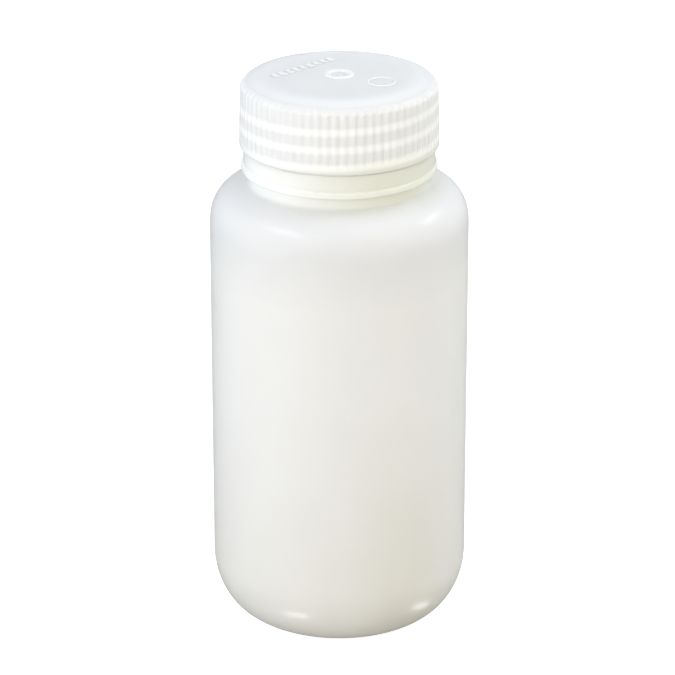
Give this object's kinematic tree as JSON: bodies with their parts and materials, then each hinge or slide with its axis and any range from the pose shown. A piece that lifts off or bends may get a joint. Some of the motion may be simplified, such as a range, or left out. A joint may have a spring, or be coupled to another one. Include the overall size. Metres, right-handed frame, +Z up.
{
  "type": "reagent bottle",
  "caption": "Wide-mouth round plastic reagent bottle with rounded shoulder, threaded neck and a ribbed screw cap over a sealing disc.",
  "frame": {"origin": "middle of the base, on the plane it stands on", "axes": "+Z up along the bottle's axis, -Y towards the front of the picture"},
  "size_m": [0.0616, 0.0616, 0.1367],
  "materials": {
    "bottle_plastic": "milky translucent polyethylene, satin",
    "cap_plastic": "natural translucent polypropylene, soft gloss",
    "liner_film": "dull, clear-to-milky sealing film"
  },
  "bodies": {
    "bottle": {"bottle": "bottle_plastic"},
    "liner": {"cap_liner": "liner_film"},
    "cap": {"screw_cap": "cap_plastic"}
  },
  "joints": [
    {"name": "liner_lift", "type": "slide", "parent": "bottle", "child": "liner", "axis": [0, 0, 1], "range_m": [0, 0.0149]},
    {"name": "cap_turn", "type": "hinge", "parent": "liner", "child": "cap", "pos_m": [0, 0, 0.128], "axis": [0, 0, 1], "range_deg": [0, 1260]}
  ],
  "couplings": [
    {"joint": "liner_lift", "follows": "cap_turn", "m_per_rad": 0.00067376}
  ]
}
